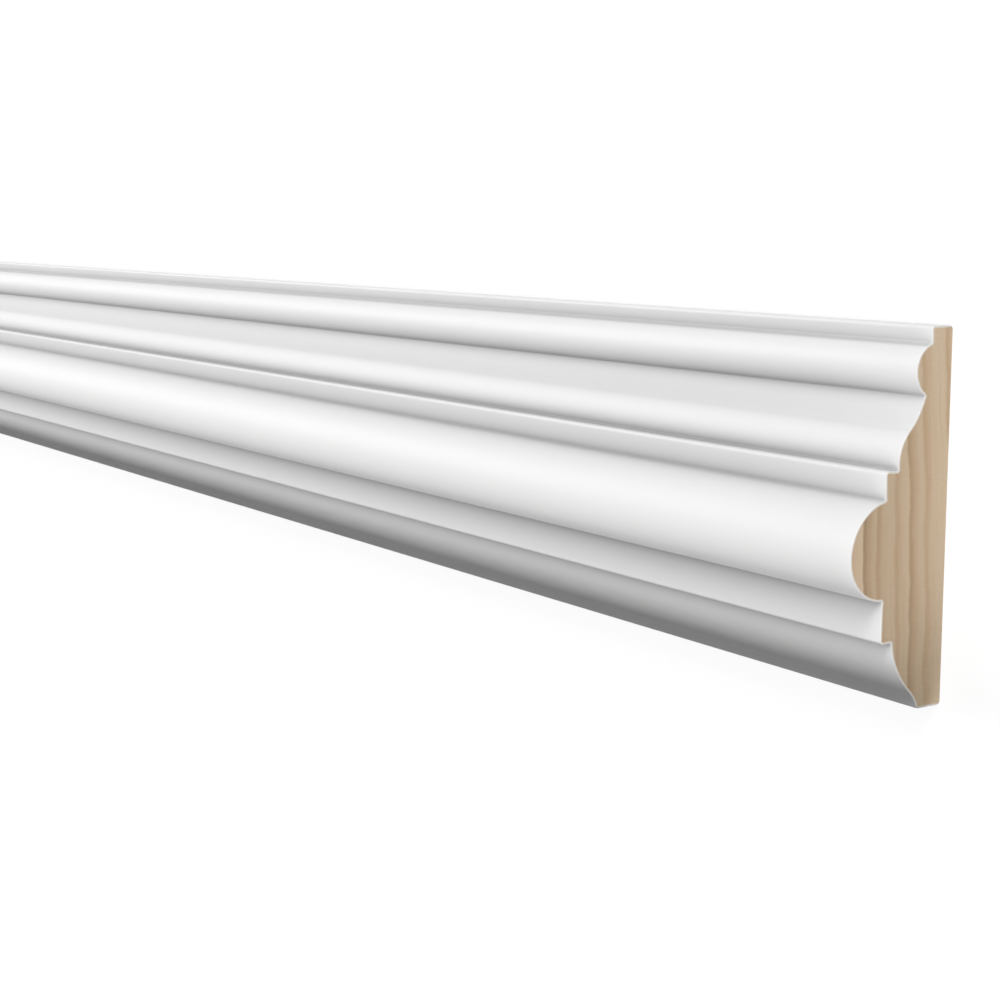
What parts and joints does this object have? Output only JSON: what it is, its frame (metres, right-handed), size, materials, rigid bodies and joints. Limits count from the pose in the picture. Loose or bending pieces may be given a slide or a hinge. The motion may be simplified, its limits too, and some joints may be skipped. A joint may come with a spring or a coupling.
{
  "type": "dado rail",
  "caption": "Straight length of painted softwood wall moulding with a bead, two ogees and a torus between fillets, a flat back and square sawn ends.",
  "frame": {"origin": "middle of the flat back, which lies on the floor", "axes": "+X along the rail, +Y towards the edge that is uppermost on a wall, +Z out of the wall"},
  "size_m": [2.4, 0.075, 0.025],
  "materials": {
    "painted_pine": "satin white paint over softwood, sawn ends and back left bare"
  },
  "bodies": {
    "root": {"dado_rail": "painted_pine"}
  },
  "joints": []
}
